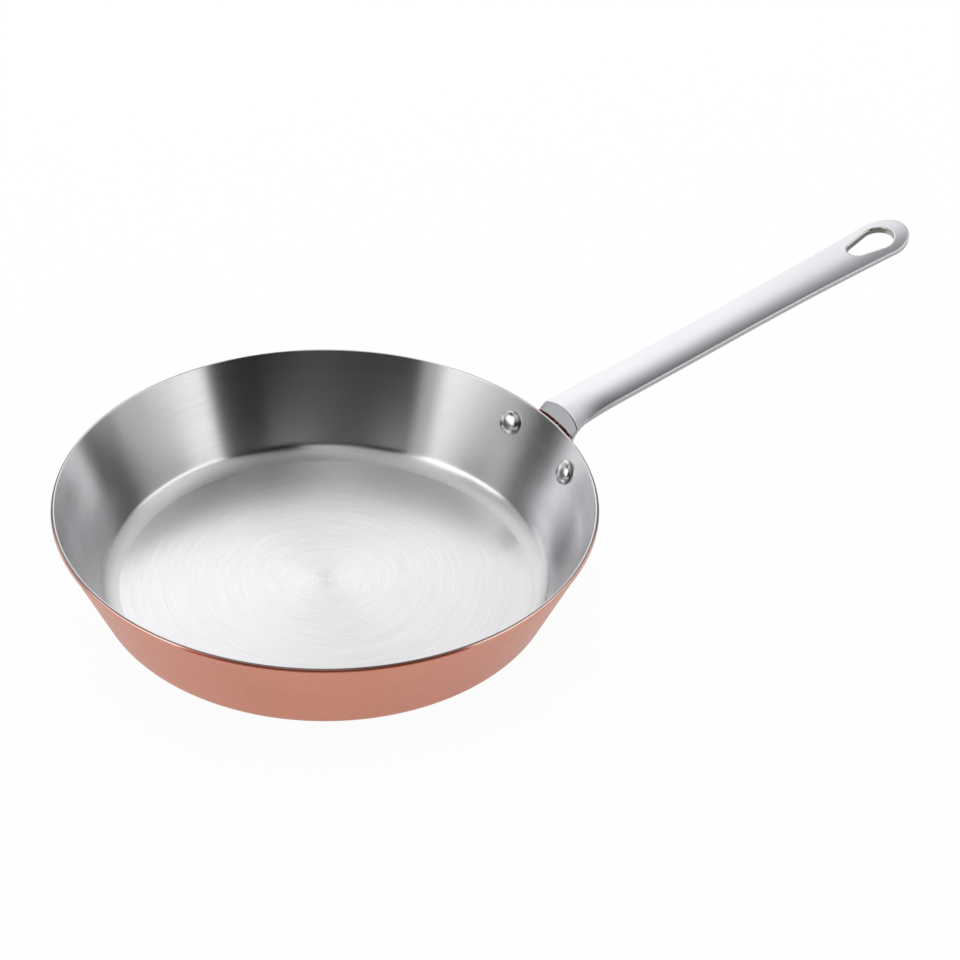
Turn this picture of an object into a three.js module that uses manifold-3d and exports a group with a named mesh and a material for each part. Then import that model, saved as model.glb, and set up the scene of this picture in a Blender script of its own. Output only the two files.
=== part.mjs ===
// Frying pan with a copper outside, a steel inside and a long cast steel handle.
// Millimetres, +Z up. The origin is the centre of the base, on the surface that the pan stands on,
// and the handle points along +X.
import * as THREE from 'three';
import { mergeVertices } from 'three/addons/utils/BufferGeometryUtils.js';
import Module from 'manifold-3d';

// Pan body, clad from three plies
const RIM_RADIUS = 133;
const PAN_HEIGHT = 51;
const WALL_LEAN_DEGREES = 24.5;
const CORNER_RADIUS = 12;
const COPPER_PLY = 1.1;
const CORE_PLY = 0.5;
const LINER_PLY = 0.5;
const BOND_GAP = 0.02;

// Handle stem, with distances measured level and outwards from the rim's edge
const HANDLE_REACH = 216.4;
const HANDLE_RISE_DEGREES = 12.55;
const SPINE_OVER_RIM = 6.65;
const NECK_DIP = 2.4;
const NECK_DIP_RUN = 30;
const SAG_DEPTH = 0.6;
const SAG_DISTANCE = 72;
const SAG_RUN = 90;
const CROWN_RADIUS = 60;
const NECK_WIDTH = 26;
const WAIST_WIDTH = 24;
const WAIST_DISTANCE = 100;
const TIP_WIDTH = 28.8;
const STEM_DEPTH = 4.5;
const UNDER_EDGE = 0.5;
const HEEL_STEP = 1.4;
const HEEL_LEAN_DEGREES = 48.5;

// Hang hole, egg shaped with its wide end towards the tip, measured along the stem's slope
const HOLE_LENGTH = 27;
const HOLE_WIDTH = 17.2;
const HOLE_NARROW_WIDTH = 11.6;
const HOLE_LAND = 8.9;

// Flange behind the wall, and the fillets that lead into it
const FLANGE_THICKNESS = 2.4;
const FLANGE_LAND = 6.8;
const NECK_FILLET = 8;
const UNDER_FILLET = 6;

// Rivets
const RIVET_SPACING = 51.4;
const RIVET_DROP = 12.3;
const SHANK_DIAMETER = 5;
const DOME_DIAMETER = 12.5;
const DOME_HEIGHT = 2.9;
const DOME_EDGE = 0.5;
const FORMED_DIAMETER = 10;
const FORMED_HEIGHT = 2;
const FORMED_EDGE = 0.4;
const FIT_GAP = 0.3;

// Facets
const PAN_SEGMENTS = 72;
const CORNER_STEPS = 5;
const RIVET_SEGMENTS = 24;
const DOME_STEPS = 5;
const CURVE_SEGMENTS = 16;
const STEM_STEPS = 24;
const TIP_STEPS = 10;
const CROWN_STEPS = 8;
const CUT_MARGIN = 5;

const WALL_LEAN = THREE.MathUtils.degToRad(WALL_LEAN_DEGREES);
const HANDLE_RISE = THREE.MathUtils.degToRad(HANDLE_RISE_DEGREES);
const HEEL_LEAN = THREE.MathUtils.degToRad(HEEL_LEAN_DEGREES);
const WALL_THICKNESS = COPPER_PLY + CORE_PLY + LINER_PLY + 2 * BOND_GAP;
const RIVET_HEIGHT = PAN_HEIGHT - RIVET_DROP;
const SPINE_HEIGHT = PAN_HEIGHT + SPINE_OVER_RIM;

const wasm = await Module();
wasm.setup();

// A closed geometry becomes a solid that can be joined and cut.
function solidOf(geometry) {
  const plain = geometry.clone();
  plain.deleteAttribute('normal');
  plain.deleteAttribute('uv');
  const merged = mergeVertices(plain);
  return new wasm.Manifold(new wasm.Mesh({
    numProp: 3,
    vertProperties: new Float32Array(merged.attributes.position.array),
    triVerts: new Uint32Array(merged.index.array),
  }));
}

// A solid becomes a geometry again.
function geometryOf(solid) {
  const mesh = solid.getMesh();
  const geometry = new THREE.BufferGeometry();
  geometry.setAttribute('position', new THREE.BufferAttribute(mesh.vertProperties, 3));
  geometry.setIndex(new THREE.BufferAttribute(mesh.triVerts, 1));
  geometry.computeVertexNormals();
  return geometry;
}

// Turns a profile of (radius, height) points about the Z axis.
function turned(profile, segments) {
  return new THREE.LatheGeometry(profile, segments).rotateX(Math.PI / 2);
}

// Extrudes a shape and lays it out so that its x, y and depth run along the given axes.
function extruded(shape, depth, axisX, axisY, axisDepth) {
  const geometry = new THREE.ExtrudeGeometry(shape, {
    depth,
    steps: 1,
    curveSegments: CURVE_SEGMENTS,
    bevelEnabled: false,
  });
  return geometry.applyMatrix4(new THREE.Matrix4().makeBasis(axisX, axisY, axisDepth));
}

const AXIS_X = new THREE.Vector3(1, 0, 0);
const AXIS_Y = new THREE.Vector3(0, 1, 0);
const AXIS_Z = new THREE.Vector3(0, 0, 1);
const AXIS_BACK = new THREE.Vector3(0, -1, 0);

// Radius of the wall at a height, for the surface that lies a given depth inside the outer one.
function wallRadius(height, depth) {
  return RIM_RADIUS - (PAN_HEIGHT - height) * Math.tan(WALL_LEAN) - depth / Math.cos(WALL_LEAN);
}

// Half profile of the pan's outer surface set in by a depth: base, corner arc and wall up to the rim,
// which is cut square to the wall. RIM_RADIUS and PAN_HEIGHT belong to the rim's outer edge.
function bodyProfile(depth) {
  const arcRadius = CORNER_RADIUS - depth;
  const arcCentre = wallRadius(CORNER_RADIUS, CORNER_RADIUS);
  const points = [new THREE.Vector2(0, depth)];
  for (let step = 0; step <= CORNER_STEPS; step += 1) {
    const turn = (step / CORNER_STEPS) * (Math.PI / 2 - WALL_LEAN);
    points.push(new THREE.Vector2(
      arcCentre + arcRadius * Math.sin(turn),
      CORNER_RADIUS - arcRadius * Math.cos(turn),
    ));
  }
  points.push(new THREE.Vector2(
    RIM_RADIUS - depth * Math.cos(WALL_LEAN),
    PAN_HEIGHT + depth * Math.sin(WALL_LEAN),
  ));
  return points;
}

// One ply of the clad body, between two depths from the outer surface.
function plySolid(outerDepth, thickness) {
  const inner = bodyProfile(outerDepth + thickness).reverse();
  return solidOf(turned([...bodyProfile(outerDepth), ...inner], PAN_SEGMENTS));
}

// Places a geometry whose axis is Z on the wall: its origin on the outer surface at the rivet's height,
// its +Z pointing square through the wall to the inside. side is 1 or -1.
function atRivet(geometry, side) {
  const radius = wallRadius(RIVET_HEIGHT, 0);
  const turn = side * Math.asin(RIVET_SPACING / 2 / radius);
  const outward = new THREE.Vector3(Math.cos(turn), Math.sin(turn), 0);
  const inward = outward.clone().multiplyScalar(-Math.cos(WALL_LEAN));
  inward.z = Math.sin(WALL_LEAN);
  const placed = geometry.clone();
  placed.applyQuaternion(new THREE.Quaternion().setFromUnitVectors(AXIS_Z, inward));
  const seat = outward.multiplyScalar(radius);
  return placed.translate(seat.x, seat.y, RIVET_HEIGHT);
}

// Both rivet holes as one cutter.
function rivetHoles() {
  const radius = SHANK_DIAMETER / 2 + FIT_GAP;
  const length = 2 * (WALL_THICKNESS + FLANGE_THICKNESS + CUT_MARGIN);
  const drill = new THREE.CylinderGeometry(radius, radius, length, RIVET_SEGMENTS).rotateX(Math.PI / 2);
  return solidOf(atRivet(drill, 1)).add(solidOf(atRivet(drill, -1)));
}

// Quarter ellipse from the edge of a rivet head up to its axis, or down for a negative height.
function domeArc(radius, seat, edge, height) {
  const points = [];
  const rise = height - edge;
  for (let step = 0; step <= DOME_STEPS; step += 1) {
    const turn = (step / DOME_STEPS) * (Math.PI / 2);
    const across = step === DOME_STEPS ? 0 : radius * Math.cos(turn);
    points.push(new THREE.Vector2(across, seat + edge + rise * Math.sin(turn)));
  }
  return points;
}

// A rivet about Z: its formed head on the flange below, its shank, and its dome inside the pan above.
function rivetGeometry() {
  const sag = (DOME_DIAMETER / 2) ** 2 / (2 * wallRadius(RIVET_HEIGHT, WALL_THICKNESS));
  const domeSeat = WALL_THICKNESS + FIT_GAP + sag;
  const formedSeat = -(FIT_GAP + FLANGE_THICKNESS + FIT_GAP);
  const shank = SHANK_DIAMETER / 2;
  const profile = [
    ...domeArc(FORMED_DIAMETER / 2, formedSeat, -FORMED_EDGE, -FORMED_HEIGHT).reverse(),
    new THREE.Vector2(FORMED_DIAMETER / 2, formedSeat),
    new THREE.Vector2(shank, formedSeat),
    new THREE.Vector2(shank, domeSeat),
    new THREE.Vector2(DOME_DIAMETER / 2, domeSeat),
    ...domeArc(DOME_DIAMETER / 2, domeSeat, DOME_EDGE, DOME_HEIGHT),
  ];
  return turned(profile, RIVET_SEGMENTS);
}

// Inward overlap of the stem, which the heel cut trims to the rim.
const STEM_ROOT = 2 * STEM_DEPTH;

// Half width of the stem at a distance: wide at the neck, drawn in at the waist and round at the tip.
function stemHalfWidth(distance) {
  const tipRadius = TIP_WIDTH / 2;
  const tipCentre = HANDLE_REACH - tipRadius;
  const waist = WAIST_WIDTH / 2;
  if (distance > tipCentre) {
    return Math.sqrt(Math.max(0, tipRadius ** 2 - (distance - tipCentre) ** 2));
  }
  if (distance > WAIST_DISTANCE) {
    return waist + (tipRadius - waist) * ((distance - WAIST_DISTANCE) / (tipCentre - WAIST_DISTANCE)) ** 2;
  }
  return waist + (NECK_WIDTH / 2 - waist) * (1 - distance / WAIST_DISTANCE) ** 2;
}

// Height of the stem's top line at a distance: a slope that sags a little and dips towards the neck.
function spineHeight(distance) {
  const dip = NECK_DIP * Math.max(0, 1 - distance / NECK_DIP_RUN) ** 2;
  const off = Math.min(1, Math.abs(distance - SAG_DISTANCE) / SAG_RUN);
  const sag = SAG_DEPTH * Math.cos((off * Math.PI) / 2) ** 2;
  return SPINE_HEIGHT + distance * Math.tan(HANDLE_RISE) - dip - sag;
}

// Distances at which the stem's section is drawn: even steps, then closer ones round the tip.
function stemStations() {
  const tipRadius = TIP_WIDTH / 2;
  const tipCentre = HANDLE_REACH - tipRadius;
  const stations = [];
  for (let step = 0; step < STEM_STEPS; step += 1) {
    stations.push(-STEM_ROOT + (step / STEM_STEPS) * (STEM_ROOT + tipCentre));
  }
  for (let step = 0; step < TIP_STEPS; step += 1) {
    stations.push(tipCentre + tipRadius * Math.sin(((step / TIP_STEPS) * Math.PI) / 2));
  }
  return stations;
}

// One section of the stem, as a ring of points: the crowned top, then the underside with its edges eased.
function stemSection(distance) {
  const half = stemHalfWidth(distance);
  const top = spineHeight(distance);
  const bottom = top - STEM_DEPTH;
  const edge = Math.min(UNDER_EDGE, half / 2);
  const x = RIM_RADIUS + distance;
  const ring = [];
  for (let step = 0; step <= CROWN_STEPS; step += 1) {
    const y = half - (step / CROWN_STEPS) * 2 * half;
    ring.push(new THREE.Vector3(x, y, top - y ** 2 / (2 * CROWN_RADIUS)));
  }
  ring.push(new THREE.Vector3(x, -half, bottom + edge));
  ring.push(new THREE.Vector3(x, edge - half, bottom));
  ring.push(new THREE.Vector3(x, half - edge, bottom));
  ring.push(new THREE.Vector3(x, half, bottom + edge));
  return ring;
}

// Joins rings of points into a closed skin, with a flat cap over each end.
function lofted(rings) {
  const count = rings[0].length;
  const last = (rings.length - 1) * count;
  const positions = rings.flat().flatMap((point) => point.toArray());
  const index = [];
  for (let row = 0; row < last; row += count) {
    for (let column = 0; column < count; column += 1) {
      const here = row + column;
      const next = row + ((column + 1) % count);
      index.push(here, next, here + count, next, next + count, here + count);
    }
  }
  for (let column = 1; column < count - 1; column += 1) {
    index.push(0, column + 1, column);
    index.push(last, last + column, last + column + 1);
  }
  const geometry = new THREE.BufferGeometry();
  geometry.setAttribute('position', new THREE.Float32BufferAttribute(positions, 3));
  geometry.setIndex(index);
  return geometry;
}

// Plan of the hang hole, about the tip: a wide and a narrow circle joined by their tangents.
function holePlan() {
  const wide = HOLE_WIDTH / 2;
  const narrow = HOLE_NARROW_WIDTH / 2;
  const spacing = HOLE_LENGTH - wide - narrow;
  const turn = Math.acos((narrow - wide) / spacing);
  const plan = new THREE.Shape();
  plan.absarc(-HOLE_LAND - wide, 0, wide, -turn, turn);
  plan.absarc(-HOLE_LAND - wide - spacing, 0, narrow, turn, 2 * Math.PI - turn);
  plan.closePath();
  return plan;
}

// The hang hole as a cutter, square to the stem's slope.
function holeCutter() {
  const depth = 2 * (STEM_DEPTH + CUT_MARGIN);
  const prism = extruded(holePlan(), depth, AXIS_X, AXIS_Y, AXIS_Z).translate(0, 0, -depth / 2);
  prism.rotateY(-HANDLE_RISE);
  return solidOf(prism.translate(RIM_RADIUS + HANDLE_REACH, 0, spineHeight(HANDLE_REACH)));
}

// Front outline of the flange, seen along the handle: a round land about each rivet and the neck
// rising between them on concave fillets.
function flangeOutline() {
  const wing = RIVET_SPACING / 2;
  const neck = NECK_WIDTH / 2;
  const fillet = Math.min(NECK_FILLET, wing - neck);
  const low = RIVET_HEIGHT - FLANGE_LAND;
  const high = RIVET_HEIGHT + FLANGE_LAND;
  const top = high + fillet + SPINE_HEIGHT;
  const outline = new THREE.Shape();
  outline.moveTo(-wing, low);
  outline.lineTo(wing, low);
  outline.absarc(wing, RIVET_HEIGHT, FLANGE_LAND, -Math.PI / 2, Math.PI / 2);
  outline.absarc(neck + fillet, high + fillet, fillet, -Math.PI / 2, -Math.PI, true);
  outline.lineTo(neck, top);
  outline.lineTo(-neck, top);
  outline.absarc(-neck - fillet, high + fillet, fillet, 0, -Math.PI / 2, true);
  outline.absarc(-wing, RIVET_HEIGHT, FLANGE_LAND, Math.PI / 2, (3 * Math.PI) / 2);
  outline.closePath();
  return outline;
}

// The flange: a shell that follows the wall at a fit gap, cut to its outline.
function flangeSolid() {
  const inner = -FIT_GAP;
  const outer = -FIT_GAP - FLANGE_THICKNESS;
  const low = RIVET_HEIGHT - FLANGE_LAND - CUT_MARGIN;
  const high = spineHeight(0) - STEM_DEPTH / 2;
  const shell = turned([
    new THREE.Vector2(wallRadius(low, inner), low),
    new THREE.Vector2(wallRadius(low, outer), low),
    new THREE.Vector2(wallRadius(high, outer), high),
    new THREE.Vector2(wallRadius(high, inner), high),
    new THREE.Vector2(wallRadius(low, inner), low),
  ], PAN_SEGMENTS);
  const reach = extruded(flangeOutline(), 2 * RIM_RADIUS, AXIS_Y, AXIS_Z, AXIS_X);
  return solidOf(shell).intersect(solidOf(reach));
}

// The fillet under the stem, where it turns down into the flange.
function underFillet() {
  const run = NECK_DIP_RUN / 2;
  const slope = Math.atan((spineHeight(run) - spineHeight(0)) / run);
  const flangeNormal = new THREE.Vector2(Math.cos(WALL_LEAN), -Math.sin(WALL_LEAN));
  const flangePoint = new THREE.Vector2(wallRadius(PAN_HEIGHT, -FIT_GAP - FLANGE_THICKNESS), PAN_HEIGHT);
  const stemNormal = new THREE.Vector2(Math.sin(slope), -Math.cos(slope));
  const stemPoint = new THREE.Vector2(RIM_RADIUS + run, spineHeight(run) - STEM_DEPTH);
  // The point that lies at the given distances below the two faces
  const offsetPoint = (fromFlange, fromStem) => {
    const flangeReach = flangeNormal.dot(flangePoint) + fromFlange;
    const stemReach = stemNormal.dot(stemPoint) + fromStem;
    const area = flangeNormal.cross(stemNormal);
    return new THREE.Vector2(
      (flangeReach * stemNormal.y - stemReach * flangeNormal.y) / area,
      (flangeNormal.x * stemReach - stemNormal.x * flangeReach) / area,
    );
  };
  const centre = offsetPoint(UNDER_FILLET, UNDER_FILLET);
  const corner = offsetPoint(-FLANGE_THICKNESS / 2, -STEM_DEPTH / 2);
  // Both ends run out on a shallow ramp that goes under the face it meets
  const ramp = UNDER_FILLET / 2;
  const flangeFoot = offsetPoint(-FLANGE_THICKNESS / 2, UNDER_FILLET + ramp);
  const stemFoot = offsetPoint(UNDER_FILLET + ramp, -STEM_DEPTH / 2);
  const side = new THREE.Shape();
  side.moveTo(corner.x, corner.y);
  side.lineTo(flangeFoot.x, flangeFoot.y);
  side.absarc(centre.x, centre.y, UNDER_FILLET, Math.PI - WALL_LEAN, Math.PI / 2 + slope, true);
  side.lineTo(stemFoot.x, stemFoot.y);
  side.closePath();
  const web = extruded(side, WAIST_WIDTH, AXIS_X, AXIS_Z, AXIS_BACK);
  return solidOf(web.translate(0, WAIST_WIDTH / 2, 0));
}

// The space that the pan takes with its fit gap, and the upright step and the cone above the rim
// that trim the heel.
function heelCutter() {
  const rim = wallRadius(PAN_HEIGHT, -FIT_GAP);
  const step = PAN_HEIGHT + HEEL_STEP;
  const top = 2 * SPINE_HEIGHT;
  return solidOf(turned([
    new THREE.Vector2(0, 0),
    new THREE.Vector2(wallRadius(0, -FIT_GAP), 0),
    new THREE.Vector2(rim, PAN_HEIGHT),
    new THREE.Vector2(rim, step),
    new THREE.Vector2(rim + (top - step) * Math.tan(HEEL_LEAN), top),
    new THREE.Vector2(0, top),
  ], PAN_SEGMENTS));
}

// The handle, cast in one piece.
function handleSolid(holes) {
  return solidOf(lofted(stemStations().map(stemSection)))
    .add(flangeSolid())
    .add(underFillet())
    .subtract(heelCutter())
    .subtract(holeCutter())
    .subtract(holes);
}

const copperFinish = new THREE.MeshStandardMaterial({ color: 0xc4806c, roughness: 0.3, metalness: 1 });
const coreFinish = new THREE.MeshStandardMaterial({ color: 0xc9cacc, roughness: 0.4, metalness: 1 });
const linerFinish = new THREE.MeshStandardMaterial({ color: 0xc6c5c7, roughness: 0.3, metalness: 1 });
const handleFinish = new THREE.MeshStandardMaterial({ color: 0xd0d1d4, roughness: 0.18, metalness: 1 });
const rivetFinish = new THREE.MeshStandardMaterial({ color: 0xcfcfd1, roughness: 0.15, metalness: 1 });

const pan = new THREE.Group();

// Adds one named sub-part to the pan.
function addPart(name, geometry, material) {
  const mesh = new THREE.Mesh(geometry, material);
  mesh.name = name;
  pan.add(mesh);
}

const holes = rivetHoles();
const coreDepth = COPPER_PLY + BOND_GAP;
const linerDepth = coreDepth + CORE_PLY + BOND_GAP;
addPart('copper_shell', geometryOf(plySolid(0, COPPER_PLY).subtract(holes)), copperFinish);
addPart('aluminium_core', geometryOf(plySolid(coreDepth, CORE_PLY).subtract(holes)), coreFinish);
addPart('steel_liner', geometryOf(plySolid(linerDepth, LINER_PLY).subtract(holes)), linerFinish);
addPart('handle', geometryOf(handleSolid(holes)), handleFinish);
addPart('rivet_left', atRivet(rivetGeometry(), 1), rivetFinish);
addPart('rivet_right', atRivet(rivetGeometry(), -1), rivetFinish);

export default pan;
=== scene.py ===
"""Frying pan: copper outside, brushed steel inside, and a long cast steel handle on two rivets."""
import logging
import math
from collections.abc import Callable, Sequence
from dataclasses import dataclass
from enum import Enum

import bpy
import numpy as np
from mathutils import Euler, Matrix, Vector


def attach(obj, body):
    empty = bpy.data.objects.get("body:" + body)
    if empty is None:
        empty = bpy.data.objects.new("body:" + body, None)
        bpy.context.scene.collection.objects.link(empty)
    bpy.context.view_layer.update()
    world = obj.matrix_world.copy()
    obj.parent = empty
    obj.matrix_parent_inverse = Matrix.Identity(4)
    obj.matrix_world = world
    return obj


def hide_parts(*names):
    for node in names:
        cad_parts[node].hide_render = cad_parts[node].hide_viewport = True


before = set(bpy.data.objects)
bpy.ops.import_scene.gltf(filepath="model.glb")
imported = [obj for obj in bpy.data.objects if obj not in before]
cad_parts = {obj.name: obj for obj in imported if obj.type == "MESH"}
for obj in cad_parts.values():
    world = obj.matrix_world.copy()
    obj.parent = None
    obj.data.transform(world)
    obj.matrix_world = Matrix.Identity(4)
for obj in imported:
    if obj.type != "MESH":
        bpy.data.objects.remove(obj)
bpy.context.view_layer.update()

LOG = logging.getLogger("pan")
BODY = "root"
MM = 0.001
DEGREES = 180.0 / math.pi
WHITE = (1.0, 1.0, 1.0, 1.0)
NOISE_MIDDLE = 0.5
MARK_DEPTH = 0.00002
LEAST_RADIUS = 0.01
ON_AXIS = 1e-6
TINY = 1e-9

Point = tuple[float, float]
Run = tuple[float, float]
Colour = tuple[float, float, float]
Place = tuple[float, float, float]
Sockets = dict[str, object]
Array = np.ndarray
Piece = bpy.types.Object
Material = bpy.types.Material


class Slot(Enum):
    """The record's material slots."""

    COPPER = "copper"
    CORE = "core"
    LINER = "liner"
    HANDLE = "handle"
    RIVET = "rivet"


class Side(Enum):
    """Which side of the handle a rivet sits on, as the sign of its y."""

    LEFT = 1
    RIGHT = -1


class Wrap:
    """One output socket, with the operators that write Math nodes."""

    def __init__(self, graph: "Graph", socket: bpy.types.NodeSocket) -> None:
        """Keeps the socket and the graph that it belongs to."""
        self.graph = graph
        self.socket = socket

    def __add__(self, other: "Number") -> "Wrap":
        """Sum of two values."""
        return self.graph.math("ADD", self, other)

    __radd__ = __add__

    def __sub__(self, other: "Number") -> "Wrap":
        """Difference of two values."""
        return self.graph.math("SUBTRACT", self, other)

    def __rsub__(self, other: "Number") -> "Wrap":
        """Difference from a number on the left."""
        return self.graph.math("SUBTRACT", other, self)

    def __mul__(self, other: "Number") -> "Wrap":
        """Product of two values."""
        return self.graph.math("MULTIPLY", self, other)

    __rmul__ = __mul__

    def __truediv__(self, other: "Number") -> "Wrap":
        """Quotient of two values."""
        return self.graph.math("DIVIDE", self, other)

    def __rtruediv__(self, other: "Number") -> "Wrap":
        """Quotient of a number by this value."""
        return self.graph.math("DIVIDE", other, self)

    def __abs__(self) -> "Wrap":
        """The value without its sign."""
        return self.graph.math("ABSOLUTE", self)

    def at_least(self, other: "Number") -> "Wrap":
        """The larger of two values."""
        return self.graph.math("MAXIMUM", self, other)

    def at_most(self, other: "Number") -> "Wrap":
        """The smaller of two values."""
        return self.graph.math("MINIMUM", self, other)

    def share(self) -> "Wrap":
        """The value kept between 0 and 1."""
        return self.at_least(0.0).at_most(1.0)

    def swing(self, weight: float) -> "Wrap":
        """How far a noise lies off its middle, times a weight."""
        return (self - NOISE_MIDDLE) * weight

    def ease(self, low: float, high: float) -> "Wrap":
        """Rises smoothly from 0 at low to 1 at high.

        Args:
            low: Value at which the rise starts.
            high: Value at which it ends.

        Returns:
            The eased value.
        """
        return self.graph.node(
            "ShaderNodeMapRange",
            {"interpolation_type": "SMOOTHSTEP"},
            {"Value": self, "From Min": low, "From Max": high},
        )


Number = float | Wrap


class Graph:
    """A node tree under construction."""

    def __init__(self, tree: bpy.types.NodeTree) -> None:
        """Starts from an empty tree."""
        self.tree = tree
        tree.nodes.clear()

    def node(
        self,
        kind: str,
        settings: Sockets | None = None,
        sockets: Sockets | None = None,
        output: str | int = 0,
    ) -> Wrap:
        """Adds a node of any type.

        Args:
            kind: The node's type.
            settings: Properties that are set before the sockets.
            sockets: Values or links of the inputs, by name or by "#index".
            output: Name or index of the output that is returned.

        Returns:
            The wrapped output.
        """
        made = self.tree.nodes.new(kind)
        for key, value in (settings or {}).items():
            setattr(made, key, value)
        for key, value in (sockets or {}).items():
            target = made.inputs[int(key[1:]) if key.startswith("#") else key]
            if isinstance(value, Wrap):
                self.tree.links.new(value.socket, target)
            else:
                target.default_value = value
        outputs = made.outputs
        return Wrap(self, outputs[output]) if len(outputs) else Wrap(self, made.inputs[0])

    def math(self, operation: str, *values: Number) -> Wrap:
        """Adds a Math node on one, two or three values."""
        return self.node(
            "ShaderNodeMath",
            {"operation": operation},
            {f"#{index}": value for index, value in enumerate(values)},
        )

    def mix(self, factor: Number, first: object, second: object) -> Wrap:
        """Mixes two colours.

        Args:
            factor: 0 gives the first colour, 1 the second.
            first: A colour or a link.
            second: A colour or a link.

        Returns:
            The mixed colour.
        """
        sockets: Sockets = {"#0": factor, "#6": first, "#7": second}
        for key in ("#6", "#7"):
            if not isinstance(sockets[key], Wrap):
                sockets[key] = (*sockets[key], 1.0)
        return self.node("ShaderNodeMix", {"data_type": "RGBA"}, sockets, 2)

    def place(self, scale: float = 1.0 / MM) -> tuple[Wrap, Wrap, Wrap]:
        """Gives the point's own coordinates.

        Args:
            scale: Factor on the metres; the standard one gives millimetres.

        Returns:
            x, y and z on the piece.
        """
        spot = self.node("ShaderNodeTexCoord", None, None, "Object")
        parts = [self.node("ShaderNodeSeparateXYZ", None, {"Vector": spot}, axis) for axis in "XYZ"]
        return parts[0] * scale, parts[1] * scale, parts[2] * scale

    def bump(self, height: Wrap, strength: float, depth: float = MARK_DEPTH) -> Wrap:
        """Adds a Bump node.

        Args:
            height: The height that varies.
            strength: Share of the effect.
            depth: Depth of the marks in metres.

        Returns:
            The bumped normal.
        """
        sockets = {"Height": height, "Strength": strength, "Distance": depth}
        return self.node("ShaderNodeBump", None, sockets)

    def glow(self, strength: float) -> Wrap:
        """Adds a white glow of an even strength."""
        return self.node("ShaderNodeEmission", None, {"Color": WHITE, "Strength": strength})


def new_material(name: str) -> tuple[Material, Graph]:
    """Makes an empty node material.

    Args:
        name: The material's name.

    Returns:
        The material and its graph.
    """
    material = bpy.data.materials.new(name)
    material.use_nodes = True
    return material, Graph(material.node_tree)


@dataclass(frozen=True)
class Grain:
    """A noise stretched along the marks of a tool: its scales in three directions and its finer layers."""

    x: float
    y: float
    z: float
    detail: float = 3.0
    roughness: float = 0.6

    def read(self, x: Wrap, y: Wrap, z: Wrap) -> Wrap:
        """Reads the noise at a place.

        Args:
            x: First coordinate.
            y: Second coordinate.
            z: Third coordinate.

        Returns:
            The noise, about 0 to 1.
        """
        graph = x.graph
        place = graph.node("ShaderNodeCombineXYZ", None, {"X": x * self.x, "Y": y * self.y, "Z": z * self.z})
        return graph.node(
            "ShaderNodeTexNoise",
            None,
            {"Vector": place, "Scale": 1.0, "Detail": self.detail, "Roughness": self.roughness},
        )


def turned_place(graph: Graph) -> tuple[Wrap, Wrap, Wrap, Wrap]:
    """Gives coordinates that follow marks of turning about the pan's axis.

    Args:
        graph: The material's graph.

    Returns:
        Radius, height, and the x and y of the direction from the axis, in millimetres and as a unit.
    """
    x, y, z = graph.place()
    radius = graph.math("SQRT", x * x + y * y).at_least(LEAST_RADIUS)
    return radius, z, x / radius, y / radius


class Finish:
    """A metal's finish, which sets the inputs of a Principled shader."""

    def sockets(self, graph: Graph) -> Sockets:
        """Gives the shader's inputs.

        Args:
            graph: The material's graph.

        Returns:
            Values or links by the input's name.
        """
        raise NotImplementedError

    def material(self, name: str) -> Material:
        """Builds the finish.

        Args:
            name: The material's name.

        Returns:
            The material.
        """
        material, graph = new_material(name)
        shader = graph.node("ShaderNodeBsdfPrincipled", None, {"Metallic": 1.0, **self.sockets(graph)})
        graph.node("ShaderNodeOutputMaterial", None, {"Surface": shader})
        return material


@dataclass(frozen=True)
class BrushedSteel(Finish):
    """Steel brushed in circles about the pan's axis, with a matt corner ring that has a painted highlight.
    """

    colour: Colour = (0.74, 0.735, 0.75)
    shade: Colour = (0.64, 0.635, 0.645)
    roughness: float = 0.2
    anisotropic: float = 0.88
    brush_turn: float = 0.25
    rings: Grain = Grain(0.5, 0.5, 0.22, 4.0)
    streaks: Grain = Grain(2.2, 2.2, 0.8)
    hairs: Grain = Grain(6.0, 6.0, 5.0, 2.0)
    base_tone: float = 0.25
    ring_tone: float = 0.4
    streak_tone: float = 1.1
    hair_tone: float = 0.5
    ring_rough: float = 0.03
    streak_rough: float = 0.04
    streak_height: float = 0.4
    hair_height: float = 0.6
    bump: float = 0.15
    spot_run: Run = (3.15, 9.0)
    spot_tone: float = 0.25
    spot_rough: float = 0.03
    # Painted highlight: a lighter colour for the corner ring, standing in for the bright ring of light
    # there.
    corner_painted_highlight: Colour = (0.8, 0.795, 0.81)
    corner_start: Run = (101.0, 102.6)
    corner_stop: Run = (3.4, 6.8)
    corner_rough: float = 0.2

    def sockets(self, graph: Graph) -> Sockets:
        """Gives the shader's inputs."""
        radius, z, across, along = turned_place(graph)
        track = radius + z
        rings = self.rings.read(across, along, track)
        streaks = self.streaks.read(across, along, track)
        hairs = self.hairs.read(across, along, track)
        spot = 1.0 - radius.ease(*self.spot_run)
        corner = radius.ease(*self.corner_start) * (1.0 - z.ease(*self.corner_stop))
        tone = rings.swing(self.ring_tone) + streaks.swing(self.streak_tone) + hairs.swing(self.hair_tone)
        tone = tone + spot * self.spot_tone + self.base_tone
        rough = self.roughness + streaks.swing(self.streak_rough) + rings.swing(self.ring_rough)
        rough = rough + spot * self.spot_rough + corner * self.corner_rough
        brushed = graph.mix(tone.share(), self.colour, self.shade)
        height = hairs * self.hair_height + streaks * self.streak_height
        return {
            # The corner ring is rougher, and its colour is painted lighter as a painted highlight.
            "Base Color": graph.mix(corner, brushed, self.corner_painted_highlight),
            "Roughness": rough,
            "Anisotropic": self.anisotropic,
            "Anisotropic Rotation": self.brush_turn,
            "Normal": graph.bump(height, self.bump),
        }


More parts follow.
